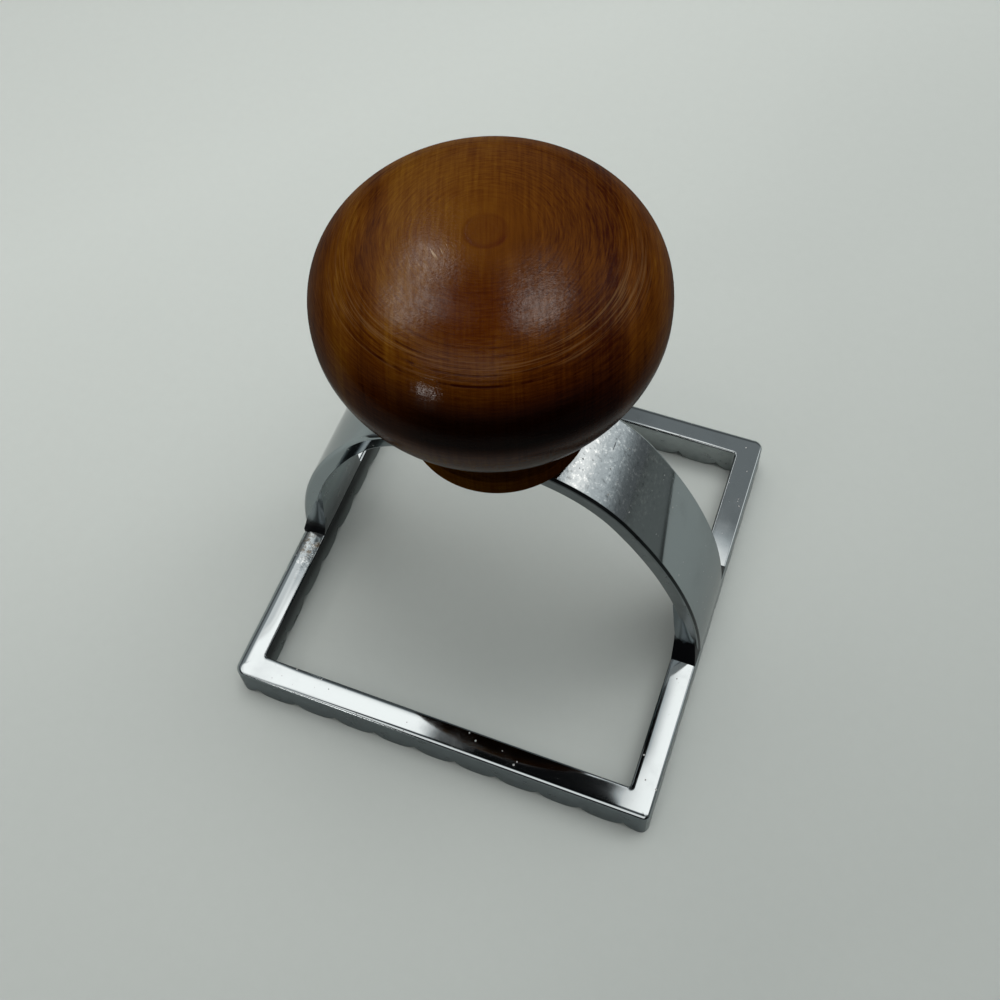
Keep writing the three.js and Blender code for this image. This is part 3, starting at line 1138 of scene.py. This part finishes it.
screwShape = Look(
    headRim=0.8,  # mm, straight part of the head
    headEdge=0.15, shankRadius=2.0, point=3.0, slotWidth=1.0, slotDepth=1.1,
    slotOver=1.0,  # how far its cutter goes past the head
    sides=64, headSteps=8,
    sharpAngle=35,  # degrees
)
screwLow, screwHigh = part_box("knob_screw")
headRadius = screwHigh.x / mm
underside = seatHeight - archShape.thickness


def slottedScrew():
    s = screwShape
    bottom = screwLow.z / mm
    top = screwHigh.z / mm
    profile = curvePoints((0.0, bottom), (headRadius, bottom), (headRadius, underside - s.headRim),
                          s.headSteps)
    profile += [(headRadius, underside - s.headEdge), (headRadius - s.headEdge, underside),
                (s.shankRadius, underside), (s.shankRadius, top - s.point), (0.0, top)]
    piece = turnProfile("slottedScrew", profile, s.sides)
    tidyMesh(piece, s.sharpAngle)
    x = s.slotWidth / 2
    y = headRadius + s.slotOver
    outline = ((-x, -y), (x, -y), (x, y), (-x, y))
    heights = (bottom - s.slotDepth, bottom + s.slotDepth)
    cutter = skinRings("slotCutter", [[(*corner, z) for corner in outline] for z in heights])
    tidyMesh(cutter)
    combine(piece, [cutter], "DIFFERENCE")
    piece.data.set_sharp_from_angle(angle=radians(s.sharpAngle))
    return piece


screwLook = Look(
    wear=(1.2, 4, 0.6),
    tints=((0.35, (0.3, 0.31, 0.32)), (0.65, (0.52, 0.53, 0.54))),  # by wear
    roughness=(0.2, 0.45),
    markStretch=(6, 1, 1),
    marks=(1.0, 3, 0.6),
    markHeight=0.01,  # mm
)


def screwSteel(point):
    look = screwLook
    wear = grain(point, *look.wear)
    marks = grain(stretched(point, look.markStretch), *look.marks)
    return {
        "Base Color": colourRamp(wear, look.tints),
        "Metallic": 1.0,
        "Roughness": lerp(*look.roughness, wear),
        "Normal": bumped(marks * look.markHeight),
    }


screwPiece = slottedScrew()
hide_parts("knob_screw")
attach(screwPiece, "root")
screwPiece.data.materials.append(newMaterial("screwSteel", screwSteel))
print("screw driven")


# Pale floor, its tint darkening toward the front right as painted shade

floorLook = Look(
    size=6000.0,  # mm
    # painted shade: the tint is darker toward the front right and paler toward the back left
    nearTint=(0.433, 0.469, 0.450),
    farTint=(0.652, 0.699, 0.668),
    near=-70.0,  # mm along the grade, from front right to back left
    far=105.0,
    gradeAlong=(-0.775, 0.632, 0.0),
    mottles=(0.5, 4, 0.6),
    mottleTone=(0.98, 1.02),
    roughness=0.6, shine=0.2,
    # painted shade that only mirrors and bounced light see: darker past an edge at the right, with a dark
    # shadow line along that edge, and dark in front
    sideAlong=(0.73, -0.68, 0.0),
    sideEdge=45.2,
    sideSoft=(0.0, 0.4),
    sideFrom=(60.0, 75.0),
    sideTone=0.4,
    lineSpan=(5.0, 0.5),
    lineTone=0.1,
    frontSpan=(-110.0, -150.0),
    frontTone=0.05,
)


def floorSheet(point):
    f = floorLook
    x, y, _ = splitUp(point)
    side = alongWay(point, f.sideAlong)
    past = ease(side, f.sideSoft, f.sideEdge) * ease(x, f.sideFrom)
    line = past * ease(side, f.lineSpan, f.sideEdge)
    front = ease(y, f.frontSpan)
    unseen = 1 - addField(point.tree, "LightPath", "Is Camera Ray", {})
    shade = lerp(*f.mottleTone, grain(point, *f.mottles))
    for mask, tone in ((past, f.sideTone), (line, f.lineTone), (front, f.frontTone)):
        shade = dimmed(shade, mask * unseen, tone)
    far = (alongWay(point, f.gradeAlong) - f.near) / (f.far - f.near)
    return {
        "Base Color": scaledColour(blendColour(far, f.nearTint, f.farTint), shade),
        "Roughness": f.roughness,
        "Specular IOR Level": f.shine,
    }


def paleFloor():
    half = floorLook.size / 2
    corners = [(-half, -half, 0), (half, -half, 0), (half, half, 0), (-half, half, 0)]
    floor = newPiece("floor", corners, [(0, 1, 2, 3)])
    floor.data.materials.append(newMaterial("paleFloor", floorSheet))


paleFloor()


# Soft room: dark walls, a bright ceiling panel with a dark patch, a dark front and a lamp overhead

# Directions are on the unit sphere, X to the right and Y to the back
roomLook = Look(
    wall=0.17, ceiling=0.13,
    ceilingSpan=(0.35, 0.8),
    # light of each glow, and the axes and spans over which it comes in: right wall, above it, left wall
    glows=((0.7, ("x", 0.3, 0.55), ("y", 0.2, 0.4), ("z", 0.09, 0.52)),
           (0.95, ("x", 0.3, 0.55), ("y", 0.2, 0.4), ("z", 0.09, 0.52), ("z", 0.52, 0.68)),
           (0.3, ("x", -0.35, -0.55), ("z", 0.35, 0.55))),
    frontTone=0.07,
    front=(("y", -0.08, -0.28), ("z", 0.3, 0.42)),
    backGlow=0.2,  # above the back rail
    back=(("x", -0.16, -0.08), ("y", 0.42, 0.5), ("y", 0.78, 0.62)),
    above=(0.3, 0.4),  # height over which it, the panes and the dark patch come in
    # bright panes: light, from and to along X, from and to along Y, with the soft width of each edge
    panes=((2.15, (-0.44, 0.14), (-0.185, 0.03), (0.12, 0.06), (0.30, 0.08)),
           (2.1, (-0.018, 0.05), (0.22, 0.08), (0.16, 0.08), (0.45, 0.05)),
           (1.7, (-0.10, 0.05), (-0.01, 0.05), (0.35, 0.05), (0.455, 0.04)),
           (2.6, (-0.48, 0.08), (-0.34, 0.06), (0.40, 0.06), (0.56, 0.08)),
           (0.9, (-0.58, 0.08), (-0.44, 0.06), (0.13, 0.06), (0.40, 0.08)),
           (1.8, (-0.60, 0.10), (-0.43, 0.08), (-0.08, 0.08), (0.13, 0.06)),
           (1.5, (-0.40, 0.10), (0.20, 0.10), (-0.52, 0.06), (-0.14, 0.08))),
    darkPlace=(-0.105, 0.13),
    darkReach=(0.085, 0.20),
    darkPower=4,  # how square its corners are
    darkSpan=(1.5, 0.7),
    darkTone=0.05,
    spot=9.0,  # light of a small bright spot in front
    spotPlace=(-0.277, -0.829, 0.486),
    spotSpan=(0.08, 0.04),
    tint=(0.96, 1.0, 1.01),
    paneTint=(1.05, 1.0, 0.96),
    paneLight=(0.5, 1.8),  # light over which the tint turns to the panes' one
)


def softRoom():
    r = roomLook
    room = bpy.data.worlds.new("softRoom")
    bpy.context.scene.world = room
    room.use_nodes = True
    toward = addField(room.node_tree, "TexCoord", "Generated", {})
    at = Look(zip("xyz", splitUp(toward)))
    above = ease(at.z, r.above)

    # 1 where every span is full
    def within(spans):
        mask = 1.0
        for axis, *span in spans:
            mask = ease(at[axis], span) * mask
        return mask

    # 1 from one soft edge to another, each given as its place and its width
    def between(value, low, high):
        rising = ease(value, (-low[1] / 2, low[1] / 2), low[0])
        return rising * ease(value, (high[1] / 2, -high[1] / 2), high[0])

    # How far a direction lies from the dark patch, beside its reach
    def farFromDark(axis, place, reach):
        return ((at[axis] - place) / reach).calc("ABSOLUTE").calc("POWER", r.darkPower)

    light = lerp(r.wall, r.ceiling, ease(at.z, r.ceilingSpan))
    for glow, *spans in r.glows:
        light = within(spans) * glow + light
    light = dimmed(light, within(r.front), r.frontTone)
    light = within(r.back) * above * r.backGlow + light
    for paneLight, left, right, low, high in r.panes:
        light = between(at.x, left, right) * between(at.y, low, high) * above * paneLight + light
    gapX, gapY = [farFromDark(*axis) for axis in zip("xy", r.darkPlace, r.darkReach)]
    light = dimmed(light, ease(gapX + gapY, r.darkSpan) * above, r.darkTone)
    spotGap = vectorCalc(toward, "DISTANCE", r.spotPlace, "Value")
    light = ease(spotGap, r.spotSpan) * r.spot + light
    tint = blendColour(ease(light, r.paneLight), r.tint, r.paneTint)
    setInputs(room.node_tree.nodes["Background"], {"Color": scaledColour(tint, light), "Strength": 1.0})


# The lamp gives the soft shadows and is left out of the mirror images

lampLook = Look(
    place=(60.0, 50.0, 520.0),  # mm
    size=430.0, power=1.53,
)


def softLamp():
    light = bpy.data.lights.new("softLamp", "AREA")
    light.shape = "DISK"
    light.size = lampLook.size * mm
    light.energy = lampLook.power
    lamp = newObject("softLamp", light)
    lamp.location = Vector(lampLook.place) * mm
    lamp.rotation_euler = (-lamp.location).to_track_quat("-Z", "Y").to_euler()
    lamp.visible_glossy = False


softRoom()
softLamp()
bpy.context.scene.view_settings.view_transform = "Standard"
print("room lit")


# Camera at the photograph's place

cameraPlace = Look(
    location=(30.39, -67.84, 162.77),  # mm
    turn=(28.072, 2.284, 20.476),  # degrees about X, Y and Z
    lens=39.6, sensor=36.0, clipStart=5.0,
)


def placeCamera():
    lens = bpy.data.cameras.new("camera")
    lens.lens = cameraPlace.lens
    lens.sensor_width = cameraPlace.sensor
    lens.clip_start = cameraPlace.clipStart * mm
    camera = newObject("camera", lens)
    camera.location = Vector(cameraPlace.location) * mm
    camera.rotation_euler = [radians(a) for a in cameraPlace.turn]
    bpy.context.scene.camera = camera


placeCamera()
